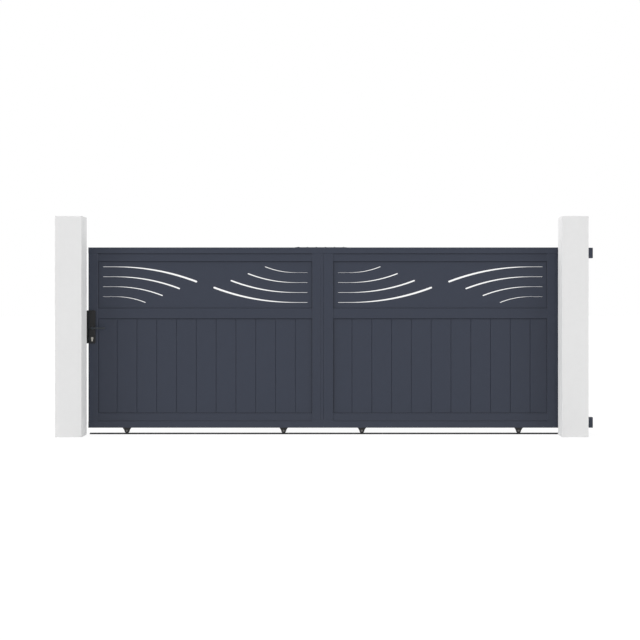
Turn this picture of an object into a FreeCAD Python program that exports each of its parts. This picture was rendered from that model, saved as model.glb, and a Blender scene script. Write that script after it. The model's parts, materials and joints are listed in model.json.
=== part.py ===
# Sliding driveway gate: two masonry piers, a ground rail, and a leaf of two framed modules
# with a cut-out panel over vertical boards. Millimetres, +Z up, +X along the gate to the right,
# +Y to the rear. The origin is the middle of the left pier's base.
import FreeCAD
import Part
import math
import os

# Piers
PIER_SIDE = 197.0
PIER_HEIGHT = 1638.0
PIER_EDGE_RADIUS = 3.0
PASSAGE = 3556.0

# Where the leaf runs
LEAF_BEHIND_PIERS = 23.0
LEAF_END_GAP = 7.0
LEAF_CLEAR_OF_GROUND = 49.0

# Leaf frame, each size seen from the front
MODULE_WIDTH = 1779.0
LEAF_DEPTH = 45.0
WALL = 2.0
BEAM_RADIUS = 2.0
BOTTOM_BEAM_HEIGHT = 49.0
BOTTOM_RAIL_HEIGHT = 60.0
BOARD_FIELD_HEIGHT = 718.0
MIDDLE_RAIL_HEIGHT = 76.0
CUT_OUT_FIELD_HEIGHT = 356.0
TOP_RAIL_HEIGHT = 59.0
TOP_BEAM_HEIGHT = 46.0
LEFT_STILE_WIDTH = 73.0
RIGHT_STILE_WIDTH = 86.0
STILE_SET_BACK = 1.5
STILE_RADIUS = 4.0
RAIL_SET_BACK = 6.0
JOINING_STRIP_WIDTH = 21.0
JOINING_LINE_WIDTH = 4.0
JOINING_LINE_DEPTH = 1.6

# Boards and cut-out panel, held in a groove of the frame
BOARD_WIDTH = 150.0
FIRST_BOARD_HIDDEN = 8.0
BOARD_THICKNESS = 16.0
BOARD_WALL = 1.8
BOARD_V_WIDTH = 6.0
BOARD_V_DEPTH = 3.5
GROOVE_DEPTH = 12.0
GROOVE_CLEARANCE = 0.3
PANEL_INSERTION = 10.0
SHEET_THICKNESS = 3.0
SHEET_RIM_WIDTH = 8.0

# Curved cut-outs: two groups of rows, the second turned half round about the field's middle
ROWS_PER_GROUP = 4
PATTERN_ABOVE_MIDDLE = 2.0
FIRST_ROW_INSET = 43.0
LAST_ROW_INSET = 87.0
OUTER_TIP_INSET = 36.5
LONGEST_SLOT_FROM_MIDDLE = 62.0
SHORTEST_SLOT = 321.0
LONGEST_SLOT_DROP = 114.5
SHORTEST_SLOT_DROP = 45.0
SLOT_LEVEL_RUN = 90.0
LONGEST_SLOT_THIN_END = 2.4
SHORTEST_SLOT_THIN_END = 1.2
LONGEST_SLOT_WIDE_END = 13.2
SHORTEST_SLOT_WIDE_END = 4.8

# Plate over the joint of the modules, and the tails that stay in the guide
JOINT_PLATE_LENGTH = 390.0
JOINT_PLATE_SHIFT = -20.0
JOINT_PLATE_THICKNESS = 1.5
TAIL_LENGTH = 258.0
TAIL_HEIGHT = 79.0
TOP_TAIL_BELOW_TOP = 2.0
TAIL_WALL = 2.5

# Caps in the open ends of the tubes
CAP_THICKNESS = 3.0
CAP_PLUG_LENGTH = 14.0
CAP_PLUG_CLEARANCE = 0.3

# Ground rail
RAIL_BASE_WIDTH = 44.0
RAIL_BASE_THICKNESS = 3.0
RAIL_HEIGHT = 10.0
RAIL_BEAD_RADIUS = 4.0
RAIL_STEM_WIDTH = 5.0
RAIL_START_INSET = 15.0
RAIL_END_INSET = 12.0
RAIL_HOLE_PAIRS = 6
RAIL_HOLE_RADIUS = 3.25
RAIL_HOLE_SPREAD = 30.0
RAIL_FIRST_HOLE = 90.0

# Rollers under the leaf
ROLLER_LEFT_INSET = 290.0
ROLLER_RIGHT_INSET = 302.0
WHEEL_TREAD_RADIUS = 16.0
WHEEL_FLANGE_RADIUS = 19.0
WHEEL_WIDTH = 16.0
WHEEL_RAIL_GAP = 0.3
AXLE_RADIUS = 4.0
AXLE_RUNNING_GAP = 0.2
AXLE_HEAD_FLATS = 13.0
AXLE_HEAD_HEIGHT = 5.0
CHEEK_THICKNESS = 3.0
CHEEK_SIDE_GAP = 2.0
CHEEK_TIP_RADIUS = 15.0
CHEEK_TOP_WIDTH = 66.0
CARRIAGE_WEB_LENGTH = 84.0
CARRIAGE_WEB_THICKNESS = 3.0
BEAM_SLOT_CLEARANCE = 1.5

# Lock and lever
LOCK_FROM_END = 31.0
LOCK_PLATE_WIDTH = 48.0
LOCK_PLATE_HEIGHT = 250.0
LOCK_PLATE_THICKNESS = 9.0
LOCK_PLATE_RADIUS = 8.0
LOCK_PLATE_BOTTOM = 687.0
LEVER_UP_PLATE = 116.0
CYLINDER_UP_PLATE = 40.0
CYLINDER_RADIUS = 8.5
CYLINDER_NECK_WIDTH = 10.0
CYLINDER_HEIGHT = 33.0
CYLINDER_PROUD = 4.0
CYLINDER_CLEARANCE = 0.25
LEVER_RADIUS = 7.0
LEVER_NECK = 26.0
LEVER_BEND_RADIUS = 14.0
LEVER_REACH = 105.0
LEVER_COLLAR_RADIUS = 11.0
LEVER_COLLAR_LENGTH = 7.0
LEVER_GAP = 0.3
SPINDLE_SIDE = 8.0
SPINDLE_HOLE_RADIUS = 7.0
LOCK_CASE_DEPTH = 52.0
LOCK_CASE_WIDTH = 16.0
LOCK_CASE_SHORTER = 44.0
LOCK_FACE_WIDTH = 22.0
LOCK_FACE_THICKNESS = 3.0
LOCK_CASE_CLEARANCE = 0.3

# Keeper behind the left pier
KEEPER_CLEARANCE = 5.0
KEEPER_THICKNESS = 4.0
KEEPER_FLANGE_WIDTH = 62.0
KEEPER_SLOT_HEIGHT = 70.0
KEEPER_SLOT_WIDTH = 16.0

# Upper guide behind the right pier
GUIDE_PLATE_WIDTH = 120.0
GUIDE_PLATE_HEIGHT = 90.0
GUIDE_THICKNESS = 5.0
GUIDE_ABOVE_LEAF = 28.0
GUIDE_ARM_PAST_ROLLER = 16.0
GUIDE_ROLLER_PITCH = 64.0
GUIDE_ROLLER_RADIUS = 8.5
GUIDE_ROLLER_LENGTH = 34.0
GUIDE_ROLLER_BELOW_TOP = 5.0
GUIDE_ROLLER_GAP = 0.4
GUIDE_PIN_RADIUS = 4.0
GUIDE_PIN_RUNNING_GAP = 0.2

# Places that follow from the sizes above
PIER_HALF = PIER_SIDE / 2
RIGHT_PIER_X = PIER_SIDE + PASSAGE
LEAF_Y = PIER_HALF + LEAF_BEHIND_PIERS + LEAF_DEPTH / 2
LEAF_LEFT = PIER_HALF + LEAF_END_GAP
LEAF_RIGHT = LEAF_LEFT + 2 * MODULE_WIDTH
FRAME_BOTTOM = LEAF_CLEAR_OF_GROUND + BOTTOM_BEAM_HEIGHT
BOARDS_BOTTOM = FRAME_BOTTOM + BOTTOM_RAIL_HEIGHT
BOARDS_TOP = BOARDS_BOTTOM + BOARD_FIELD_HEIGHT
CUT_OUT_BOTTOM = BOARDS_TOP + MIDDLE_RAIL_HEIGHT
CUT_OUT_TOP = CUT_OUT_BOTTOM + CUT_OUT_FIELD_HEIGHT
FRAME_TOP = CUT_OUT_TOP + TOP_RAIL_HEIGHT
LEAF_TOP = FRAME_TOP + TOP_BEAM_HEIGHT
STILE_DEPTH = LEAF_DEPTH - 2 * STILE_SET_BACK
RAIL_DEPTH = LEAF_DEPTH - 2 * RAIL_SET_BACK
GROOVE_WIDTH = BOARD_THICKNESS + 2 * GROOVE_CLEARANCE
AXLE_Z = RAIL_HEIGHT + WHEEL_RAIL_GAP + WHEEL_TREAD_RADIUS
LOCK_X = LEAF_LEFT + LOCK_FROM_END
LEVER_Z = LOCK_PLATE_BOTTOM + LEVER_UP_PLATE
CYLINDER_Z = LOCK_PLATE_BOTTOM + CYLINDER_UP_PLATE
MODULES = {
    "left": LEAF_LEFT,
    "right": LEAF_LEFT + MODULE_WIDTH,
}

X_AXIS = FreeCAD.Vector(1, 0, 0)
Y_AXIS = FreeCAD.Vector(0, 1, 0)
Z_AXIS = FreeCAD.Vector(0, 0, 1)


def point(x, y, z):
    return FreeCAD.Vector(x, y, z)


def block(x_span, y_span, z_span):
    """A box between three pairs of limits."""
    return Part.makeBox(
        x_span[1] - x_span[0],
        y_span[1] - y_span[0],
        z_span[1] - z_span[0],
        point(x_span[0], y_span[0], z_span[0]),
    )


def about(middle, width):
    """Two limits, half a width to each side of a middle."""
    return (middle - width / 2, middle + width / 2)


def inset(span, amount):
    """The same limits moved inwards, or outwards where the amount is negative."""
    return (span[0] + amount, span[1] - amount)


def cylinder(radius, length, base, direction):
    return Part.makeCylinder(radius, length, base, direction)


def edges_along(shape, axis):
    """The straight edges of a shape that run along an axis."""
    found = []
    for edge in shape.Edges:
        if len(edge.Vertexes) < 2:
            continue
        run = edge.Vertexes[1].Point - edge.Vertexes[0].Point
        if abs(abs(run.dot(axis)) - run.Length) < 1e-6:
            found.append(edge)
    return found


def rounded_bar(x_span, y_span, z_span, axis, radius):
    """A box whose four edges along one axis are rounded."""
    bar = block(x_span, y_span, z_span)
    return bar.makeFillet(radius, edges_along(bar, axis))


def save(name, *solids):
    """Writes one piece, or several like pieces that don't touch, as one file."""
    shape = solids[0] if len(solids) == 1 else Part.makeCompound(list(solids))
    shape.exportStep(os.path.join("parts", name + ".step"))
    box = shape.BoundBox
    print(
        f"{name:24s} solids {len(shape.Solids)}  valid {shape.isValid()}"
        f"  X {box.XMin:8.1f} {box.XMax:8.1f}  Y {box.YMin:7.1f} {box.YMax:7.1f}"
        f"  Z {box.ZMin:7.1f} {box.ZMax:7.1f}"
    )


def pier(middle_x):
    """A square rendered pier, its upright and top edges softened by the render."""
    column = block(about(middle_x, PIER_SIDE), about(0, PIER_SIDE), (0, PIER_HEIGHT))
    upright = edges_along(column, Z_AXIS)
    top = [e for e in column.Edges if min(v.Z for v in e.Vertexes) > PIER_HEIGHT - 1e-6]
    return column.makeFillet(PIER_EDGE_RADIUS, upright + top)


def v_line(x, y_span, z_span):
    """What is taken out for a fine upright V line on the front and the rear of a profile."""
    cutters = []
    for face_y, inward in zip(y_span, (1, -1)):
        half = JOINING_LINE_WIDTH / 2
        corners = [
            point(x - half, face_y, z_span[0]),
            point(x + half, face_y, z_span[0]),
            point(x, face_y + inward * JOINING_LINE_DEPTH, z_span[0]),
        ]
        section = Part.Face(Part.makePolygon(corners + corners[:1]))
        cutters.append(section.extrude(point(0, 0, z_span[1] - z_span[0])))
    return cutters


def stile(inner_x, outer_x):
    """An upright hollow profile, with a groove for the panels along its inner side."""
    toward_outer = 1 if outer_x > inner_x else -1
    groove_bottom = inner_x + toward_outer * GROOVE_DEPTH
    x_span = tuple(sorted((inner_x, outer_x)))
    y_span = about(LEAF_Y, STILE_DEPTH)
    z_span = (FRAME_BOTTOM, FRAME_TOP)
    profile = rounded_bar(x_span, y_span, z_span, Z_AXIS, STILE_RADIUS)
    chamber_x = sorted((groove_bottom + toward_outer * WALL, outer_x - toward_outer * WALL))
    chamber = block(chamber_x, inset(y_span, WALL), z_span)
    groove = block(sorted((inner_x, groove_bottom)), about(LEAF_Y, GROOVE_WIDTH), z_span)
    return profile.cut(chamber).cut(groove)


def rail(x_span, z_span, groove_below, groove_above):
    """A hollow cross rail, grooved along each side that holds a panel."""
    y_span = about(LEAF_Y, RAIL_DEPTH)
    groove_y = about(LEAF_Y, GROOVE_WIDTH)
    profile = rounded_bar(x_span, y_span, z_span, X_AXIS, BEAM_RADIUS / 2)
    chamber_z = [z_span[0] + WALL, z_span[1] - WALL]
    if groove_below:
        profile = profile.cut(block(x_span, groove_y, (z_span[0], z_span[0] + GROOVE_DEPTH)))
        chamber_z[0] += GROOVE_DEPTH
    if groove_above:
        profile = profile.cut(block(x_span, groove_y, (z_span[1] - GROOVE_DEPTH, z_span[1])))
        chamber_z[1] -= GROOVE_DEPTH
    return profile.cut(block(x_span, inset(y_span, WALL), chamber_z))


def tube(x_span, z_span, wall):
    """A rectangular tube along the leaf, as deep as the leaf."""
    y_span = about(LEAF_Y, LEAF_DEPTH)
    outside = rounded_bar(x_span, y_span, z_span, X_AXIS, BEAM_RADIUS)
    return outside.cut(block(x_span, inset(y_span, wall), inset(z_span, wall)))


def tube_cap(tube_end, outward, z_span, wall):
    """A cap on a tube's open end: a plate as large as the tube, and a plug inside it."""
    y_span = about(LEAF_Y, LEAF_DEPTH)
    plate_x = sorted((tube_end, tube_end + outward * CAP_THICKNESS))
    plate = rounded_bar(plate_x, y_span, z_span, X_AXIS, BEAM_RADIUS)
    plug_x = sorted((tube_end, tube_end - outward * CAP_PLUG_LENGTH))
    play = wall + CAP_PLUG_CLEARANCE
    plug = block(plug_x, inset(y_span, play), inset(z_span, play))
    hollow = block(plug_x, inset(y_span, play + wall), inset(z_span, play + wall))
    return plate.fuse(plug.cut(hollow)).removeSplitter()


def board_field(x_span):
    """Upright hollow boards side by side as one panel, with a V at each joint on both faces."""
    field_x = inset(x_span, -PANEL_INSERTION)
    field_z = inset((BOARDS_BOTTOM, BOARDS_TOP), -PANEL_INSERTION)
    front = LEAF_Y - BOARD_THICKNESS / 2
    rear = LEAF_Y + BOARD_THICKNESS / 2
    joints = []
    joint_x = x_span[0] - FIRST_BOARD_HIDDEN + BOARD_WIDTH
    while joint_x < x_span[1] - BOARD_V_WIDTH:
        joints.append(joint_x)
        joint_x += BOARD_WIDTH

    def face_points(y, inward):
        line = [point(field_x[0], y, field_z[0])]
        for x in joints:
            line.append(point(x - BOARD_V_WIDTH / 2, y, field_z[0]))
            line.append(point(x, y + inward * BOARD_V_DEPTH, field_z[0]))
            line.append(point(x + BOARD_V_WIDTH / 2, y, field_z[0]))
        line.append(point(field_x[1], y, field_z[0]))
        return line

    corners = face_points(front, 1) + face_points(rear, -1)[::-1]
    height = field_z[1] - field_z[0]
    panel = Part.Face(Part.makePolygon(corners + corners[:1])).extrude(point(0, 0, height))
    chamber_y = inset((front, rear), BOARD_WALL)
    side_wall = BOARD_V_WIDTH / 2 + BOARD_WALL
    edges_x = [field_x[0] - BOARD_V_WIDTH / 2] + joints + [field_x[1] + BOARD_V_WIDTH / 2]
    chambers = [
        block((left_edge + side_wall, right_edge - side_wall), chamber_y, field_z)
        for left_edge, right_edge in zip(edges_x, edges_x[1:])
        if right_edge - left_edge > BOARD_WIDTH / 3
    ]
    return panel.cut(chambers)


def slot_outline(outer_tip, inner_tip, thin_end, wide_end):
    """A cut-out that starts thin and level, then bends down and widens to a round end.

    Both tips are (x, z). Each long edge is a level line and an arc tangent to it. An arc that
    leaves the level turns by twice the slope of the line from its start to its end.
    """
    thin, wide = thin_end / 2, wide_end / 2
    bend_run = inner_tip[0] - outer_tip[0] - SLOT_LEVEL_RUN
    turn = 2 * math.atan((outer_tip[1] - inner_tip[1]) / bend_run)
    along = (math.cos(turn), -math.sin(turn))
    across = (math.sin(turn), math.cos(turn))
    start = (outer_tip[0] + thin, outer_tip[1])
    end = (inner_tip[0] - wide * along[0], inner_tip[1] - wide * along[1])

    def flat(x, z):
        return point(x, 0, z)

    def edge_pair(side):
        """The level line and the arc of one long edge; side is 1 above and -1 below."""
        first = (start[0], start[1] + side * thin)
        last = (end[0] + side * wide * across[0], end[1] + side * wide * across[1])
        radius = (first[1] - last[1]) / (1 - math.cos(turn))
        bend_x = last[0] - radius * math.sin(turn)
        middle = (
            bend_x + radius * math.sin(turn / 2),
            first[1] - radius * (1 - math.cos(turn / 2)),
        )
        level = Part.LineSegment(flat(*first), flat(bend_x, first[1])).toShape()
        bend = Part.Arc(flat(bend_x, first[1]), flat(*middle), flat(*last)).toShape()
        return first, last, level, bend

    first_up, last_up, level_up, bend_up = edge_pair(1)
    first_down, last_down, level_down, bend_down = edge_pair(-1)
    outer_round = Part.Arc(flat(*first_down), flat(*outer_tip), flat(*first_up)).toShape()
    inner_round = Part.Arc(flat(*last_up), flat(*inner_tip), flat(*last_down)).toShape()
    return Part.Wire([level_up, bend_up, inner_round, bend_down, level_down, outer_round])


def slot_group(field_width, field_height):
    """The cut-outs left of the pattern's middle, as faces about that middle.

    From the first row down to the last they get shorter, thinner and less bent.
    """
    rows = []
    outer_x = -field_width / 2 + OUTER_TIP_INSET
    first_z = field_height / 2 - FIRST_ROW_INSET
    last_z = -field_height / 2 + LAST_ROW_INSET
    for row in range(ROWS_PER_GROUP):
        share = row / (ROWS_PER_GROUP - 1)

        def between(first, last):
            return first + share * (last - first)

        row_z = between(first_z, last_z)
        inner_x = between(-LONGEST_SLOT_FROM_MIDDLE, outer_x + SHORTEST_SLOT)
        inner_z = row_z - between(LONGEST_SLOT_DROP, SHORTEST_SLOT_DROP)
        thin_end = between(LONGEST_SLOT_THIN_END, SHORTEST_SLOT_THIN_END)
        wide_end = between(LONGEST_SLOT_WIDE_END, SHORTEST_SLOT_WIDE_END)
        outline = slot_outline((outer_x, row_z), (inner_x, inner_z), thin_end, wide_end)
        rows.append(Part.Face(outline))
    return Part.makeCompound(rows)


def cut_out_panel(x_span, mirrored):
    """A thin sheet with a deep rim that sits in the frame's groove, cut by curved slots."""
    sheet_x = inset(x_span, -PANEL_INSERTION)
    sheet_z = inset((CUT_OUT_BOTTOM, CUT_OUT_TOP), -PANEL_INSERTION)
    y_span = about(LEAF_Y, BOARD_THICKNESS)
    tray = block(sheet_x, y_span, sheet_z)
    hollow_y = (y_span[0] + SHEET_THICKNESS, y_span[1])
    tray = tray.cut(block(inset(sheet_x, SHEET_RIM_WIDTH), hollow_y, inset(sheet_z, SHEET_RIM_WIDTH)))

    depth = point(0, y_span[1] - y_span[0], 0)
    first_group = slot_group(x_span[1] - x_span[0], CUT_OUT_FIELD_HEIGHT).extrude(depth)
    second_group = first_group.copy()
    second_group.rotate(point(0, 0, 0), Y_AXIS, 180)
    cutters = Part.makeCompound([first_group, second_group])
    if mirrored:
        cutters = cutters.mirror(point(0, 0, 0), X_AXIS)
    middle_z = (CUT_OUT_BOTTOM + CUT_OUT_TOP) / 2 + PATTERN_ABOVE_MIDDLE
    cutters.translate(point((x_span[0] + x_span[1]) / 2, y_span[0], middle_z))
    return tray.cut(cutters.Solids)


def ground_rail():
    """A flat base with a round bead on a short stem, and pairs of screw holes."""
    x_span = (PIER_HALF + RAIL_START_INSET, RIGHT_PIER_X + PIER_HALF - RAIL_END_INSET)
    length = x_span[1] - x_span[0]
    base = block(x_span, about(LEAF_Y, RAIL_BASE_WIDTH), (0, RAIL_BASE_THICKNESS))
    bead_z = RAIL_HEIGHT - RAIL_BEAD_RADIUS
    stem = block(x_span, about(LEAF_Y, RAIL_STEM_WIDTH), (0, bead_z))
    bead = cylinder(RAIL_BEAD_RADIUS, length, point(x_span[0], LEAF_Y, bead_z), X_AXIS)
    profile = base.fuse([stem, bead]).removeSplitter()
    pitch = (length - 2 * RAIL_FIRST_HOLE) / (RAIL_HOLE_PAIRS - 1)
    for pair in range(RAIL_HOLE_PAIRS):
        for y in about(LEAF_Y, RAIL_HOLE_SPREAD):
            x = x_span[0] + RAIL_FIRST_HOLE + pair * pitch
            hole = cylinder(RAIL_HOLE_RADIUS, RAIL_BASE_THICKNESS, point(x, y, 0), Z_AXIS)
            profile = profile.cut(hole)
        print(f"  rail screw holes at X {x:.2f}, Y {LEAF_Y:.2f} with {RAIL_HOLE_SPREAD:.0f} between")
    return profile


def roller_places():
    """The middles of the four rollers along the leaf, two in each module."""
    places = []
    for left in MODULES.values():
        places.append(left + ROLLER_LEFT_INSET)
        places.append(left + MODULE_WIDTH - ROLLER_RIGHT_INSET)
    return places


def carriage_gap():
    """The clear width between the two cheeks of a roller carriage."""
    return WHEEL_WIDTH + 2 * CHEEK_SIDE_GAP


def cheek_outline(x, y):
    """A cheek's outline: a flat top, sloping sides and a round tip about the axle."""
    top_z = LEAF_CLEAR_OF_GROUND + WALL
    half_top = CHEEK_TOP_WIDTH / 2
    height = top_z - AXLE_Z
    reach = math.hypot(half_top, height)
    lean = math.atan2(height, half_top) - math.acos(CHEEK_TIP_RADIUS / reach)
    touch_x = CHEEK_TIP_RADIUS * math.cos(lean)
    touch_z = AXLE_Z + CHEEK_TIP_RADIUS * math.sin(lean)
    left_top = point(x - half_top, y, top_z)
    right_top = point(x + half_top, y, top_z)
    left_touch = point(x - touch_x, y, touch_z)
    right_touch = point(x + touch_x, y, touch_z)
    tip = point(x, y, AXLE_Z - CHEEK_TIP_RADIUS)
    return Part.Wire(
        [
            Part.LineSegment(left_top, right_top).toShape(),
            Part.LineSegment(right_top, right_touch).toShape(),
            Part.Arc(right_touch, tip, left_touch).toShape(),
            Part.LineSegment(left_touch, left_top).toShape(),
        ]
    )


def carriage(x):
    """A bent bracket: a web lying in the bottom beam, and two cheeks that hold the axle."""
    half_gap = carriage_gap() / 2
    web_bottom = LEAF_CLEAR_OF_GROUND + WALL
    outer = carriage_gap() + 2 * CHEEK_THICKNESS
    web = block(
        about(x, CARRIAGE_WEB_LENGTH),
        about(LEAF_Y, outer),
        (web_bottom, web_bottom + CARRIAGE_WEB_THICKNESS),
    )
    thickness = point(0, CHEEK_THICKNESS, 0)
    front = Part.Face(cheek_outline(x, LEAF_Y - half_gap - CHEEK_THICKNESS)).extrude(thickness)
    rear = Part.Face(cheek_outline(x, LEAF_Y + half_gap)).extrude(thickness)
    bracket = web.fuse([front, rear]).removeSplitter()
    start = point(x, LEAF_Y - outer, AXLE_Z)
    return bracket.cut(cylinder(AXLE_RADIUS, 2 * outer, start, Y_AXIS))


def hexagon(flats, x, y, z):
    radius = flats / math.sqrt(3)
    corners = []
    for k in range(7):
        angle = math.radians(60 * k)
        corners.append(point(x + radius * math.cos(angle), y, z + radius * math.sin(angle)))
    return Part.Face(Part.makePolygon(corners))


def axle(x):
    """A bolt through both cheeks: its head in front, its nut behind."""
    outer = carriage_gap() / 2 + CHEEK_THICKNESS
    front = LEAF_Y - outer
    shank = cylinder(AXLE_RADIUS, 2 * outer, point(x, front, AXLE_Z), Y_AXIS)
    height = point(0, AXLE_HEAD_HEIGHT, 0)
    head = hexagon(AXLE_HEAD_FLATS, x, front - AXLE_HEAD_HEIGHT, AXLE_Z).extrude(height)
    nut = hexagon(AXLE_HEAD_FLATS, x, LEAF_Y + outer, AXLE_Z).extrude(height)
    return shank.fuse([head, nut]).removeSplitter()


def wheel(x):
    """A grooved wheel, its groove following the rail's bead at a small distance."""
    groove_radius = RAIL_BEAD_RADIUS + WHEEL_RAIL_GAP
    groove_middle = WHEEL_TREAD_RADIUS + groove_radius
    half_mouth = math.sqrt(groove_radius**2 - (groove_middle - WHEEL_FLANGE_RADIUS) ** 2)
    half = WHEEL_WIDTH / 2
    bore = AXLE_RADIUS + AXLE_RUNNING_GAP

    def section(across, radius):
        return point(x, LEAF_Y + across, AXLE_Z + radius)

    line = [
        section(half_mouth, WHEEL_FLANGE_RADIUS),
        section(half, WHEEL_FLANGE_RADIUS),
        section(half, bore),
        section(-half, bore),
        section(-half, WHEEL_FLANGE_RADIUS),
        section(-half_mouth, WHEEL_FLANGE_RADIUS),
    ]
    groove = Part.Arc(line[-1], section(0, WHEEL_TREAD_RADIUS), line[0]).toShape()
    outline = Part.Wire(Part.makePolygon(line).Edges + [groove])
    return Part.Face(outline).revolve(point(x, LEAF_Y, AXLE_Z), Y_AXIS, 360)


def bottom_beam(x_span):
    """The bottom tube, with a slot in its floor for each roller carriage."""
    beam = tube(x_span, (LEAF_CLEAR_OF_GROUND, FRAME_BOTTOM), WALL)
    slot_y = about(LEAF_Y, carriage_gap() + 2 * CHEEK_THICKNESS + 2 * BEAM_SLOT_CLEARANCE)
    floor = (LEAF_CLEAR_OF_GROUND, LEAF_CLEAR_OF_GROUND + WALL)
    for x in roller_places():
        if x_span[0] < x < x_span[1]:
            slot_x = about(x, CHEEK_TOP_WIDTH + 2 * BEAM_SLOT_CLEARANCE)
            beam = beam.cut(block(slot_x, slot_y, floor))
    return beam


def cylinder_profile(y, clearance):
    """The keyhole outline of a profile cylinder, its round part on top."""
    radius = CYLINDER_RADIUS + clearance
    half_neck = CYLINDER_NECK_WIDTH / 2 + clearance
    bottom_z = CYLINDER_Z - (CYLINDER_HEIGHT - CYLINDER_RADIUS) - clearance
    meet_z = CYLINDER_Z - math.sqrt(radius**2 - half_neck**2)
    foot_z = bottom_z + half_neck
    left, right = LOCK_X - half_neck, LOCK_X + half_neck
    return Part.Face(
        Part.Wire(
            [
                Part.Arc(
                    point(left, y, meet_z),
                    point(LOCK_X, y, CYLINDER_Z + radius),
                    point(right, y, meet_z),
                ).toShape(),
                Part.LineSegment(point(right, y, meet_z), point(right, y, foot_z)).toShape(),
                Part.Arc(
                    point(right, y, foot_z),
                    point(LOCK_X, y, bottom_z),
                    point(left, y, foot_z),
                ).toShape(),
                Part.LineSegment(point(left, y, foot_z), point(left, y, meet_z)).toShape(),
            ]
        )
    )


def lock_openings(y_span):
    """What is taken out of a plate or a stile for the cylinder and the spindle."""
    length = y_span[1] - y_span[0]
    keyway = cylinder_profile(y_span[0], CYLINDER_CLEARANCE).extrude(point(0, length, 0))
    spindle_way = cylinder(SPINDLE_HOLE_RADIUS, length, point(LOCK_X, y_span[0], LEVER_Z), Y_AXIS)
    return [keyway, spindle_way]


def lock_plate_span(side):
    """A lock plate's limits in depth; side is -1 in front and 1 behind."""
    seat = LEAF_Y + side * STILE_DEPTH / 2
    return tuple(sorted((seat, seat + side * LOCK_PLATE_THICKNESS)))


def lock_plate(side):
    """A long plate with rounded corners, on one face of the stile."""
    y_span = lock_plate_span(side)
    plate = rounded_bar(
        about(LOCK_X, LOCK_PLATE_WIDTH),
        y_span,
        (LOCK_PLATE_BOTTOM, LOCK_PLATE_BOTTOM + LOCK_PLATE_HEIGHT),
        Y_AXIS,
        LOCK_PLATE_RADIUS,
    )
    return plate.cut(lock_openings(y_span))


def lock_case_spans():
    """The limits of the lock's face plate, let into the stile's end, and of its case."""
    face_x = (LEAF_LEFT, LEAF_LEFT + LOCK_FACE_THICKNESS)
    face_z = (LOCK_PLATE_BOTTOM, LOCK_PLATE_BOTTOM + LOCK_PLATE_HEIGHT)
    face = (face_x, about(LEAF_Y, LOCK_FACE_WIDTH), face_z)
    case_x = (face_x[1], LEAF_LEFT + LOCK_CASE_DEPTH)
    case_z = inset(face_z, LOCK_CASE_SHORTER / 2)
    return face, (case_x, about(LEAF_Y, LOCK_CASE_WIDTH), case_z)


def lock_case():
    """The mortice lock in the stile: a face plate with round ends, and the case behind it."""
    face, case = lock_case_spans()
    plate = rounded_bar(*face, X_AXIS, LOCK_FACE_WIDTH / 2 - LOCK_CASE_CLEARANCE)
    return plate.fuse(block(*case)).removeSplitter().cut(lock_openings(case[1]))


def lock_case_way():
    """What is taken out of the stile's end for the lock's face plate."""
    face_x, face_y, face_z = lock_case_spans()[0]
    radius = LOCK_FACE_WIDTH / 2
    way_y = inset(face_y, -LOCK_CASE_CLEARANCE)
    way_z = inset(face_z, -LOCK_CASE_CLEARANCE)
    return rounded_bar(face_x, way_y, way_z, X_AXIS, radius)


def lock_cylinder():
    """The profile cylinder, through both plates and a little proud of them."""
    start = lock_plate_span(-1)[0] - CYLINDER_PROUD
    end = lock_plate_span(1)[1] + CYLINDER_PROUD
    return cylinder_profile(start, 0).extrude(point(0, end - start, 0))


def lever(side):
    """A round lever: a collar against the plate, a neck, a bend and a level grip."""
    seat = lock_plate_span(side)[0 if side < 0 else 1] + side * LEVER_GAP
    out = point(0, side, 0)
    collar = cylinder(LEVER_COLLAR_RADIUS, LEVER_COLLAR_LENGTH, point(LOCK_X, seat, LEVER_Z), out)
    neck = cylinder(LEVER_RADIUS, LEVER_NECK, point(LOCK_X, seat, LEVER_Z), out)
    bend_y = seat + side * LEVER_NECK
    hub = point(LOCK_X + LEVER_BEND_RADIUS, bend_y, LEVER_Z)
    ring = Part.Face(Part.Wire(Part.makeCircle(LEVER_RADIUS, point(LOCK_X, bend_y, LEVER_Z), out)))
    bend = ring.revolve(hub, Z_AXIS, -side * 90)
    grip_length = LEVER_REACH - LEVER_BEND_RADIUS - LEVER_RADIUS
    grip_start = point(hub.x, bend_y + side * LEVER_BEND_RADIUS, LEVER_Z)
    grip = cylinder(LEVER_RADIUS, grip_length, grip_start, X_AXIS)
    end = Part.makeSphere(LEVER_RADIUS, grip_start + point(grip_length, 0, 0))
    return collar.fuse([neck, bend, grip, end]).removeSplitter()


def spindle():
    """The square bar between the two levers."""
    start = lock_plate_span(-1)[0] - LEVER_GAP
    end = lock_plate_span(1)[1] + LEVER_GAP
    return block(about(LOCK_X, SPINDLE_SIDE), (start, end), about(LEVER_Z, SPINDLE_SIDE))


def keeper():
    """An angle bracket: one flange on the pier's rear face, one facing the leaf's end."""
    face_x = LEAF_LEFT - KEEPER_CLEARANCE
    z_span = (LOCK_PLATE_BOTTOM, LOCK_PLATE_BOTTOM + LOCK_PLATE_HEIGHT)
    flange = block(
        (face_x - KEEPER_FLANGE_WIDTH, face_x),
        (PIER_HALF, PIER_HALF + KEEPER_THICKNESS),
        z_span,
    )
    web_x = (face_x - KEEPER_THICKNESS, face_x)
    web = block(web_x, (PIER_HALF, LEAF_Y + LEAF_DEPTH / 2), z_span)
    slot_z = about((LEVER_Z + CYLINDER_Z) / 2, KEEPER_SLOT_HEIGHT)
    slot = block(web_x, about(LEAF_Y, KEEPER_SLOT_WIDTH), slot_z)
    return flange.fuse(web).removeSplitter().cut(slot)


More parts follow.
